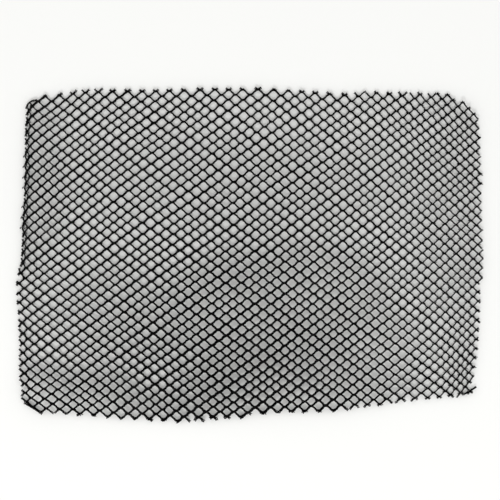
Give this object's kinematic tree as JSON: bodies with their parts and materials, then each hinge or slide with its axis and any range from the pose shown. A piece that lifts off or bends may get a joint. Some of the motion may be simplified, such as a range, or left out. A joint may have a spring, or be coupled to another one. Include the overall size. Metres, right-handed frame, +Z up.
{
  "type": "mosquito screen netting",
  "caption": "Cut length of black open-mesh mosquito netting, knitted from fine twisted yarn into small diamond holes, lying flat with low soft folds.",
  "frame": {"origin": "on the surface that the net lies on, under the middle of its bounding box", "axes": "+X along the longer cut side, +Y along the shorter cut side, +Z up off the surface"},
  "size_m": [0.1106, 0.0792, 0.0029],
  "materials": {
    "net_yarn": "matt black polyester yarn with a faint sheen"
  },
  "bodies": {
    "root": {"netting": "net_yarn"}
  },
  "joints": []
}
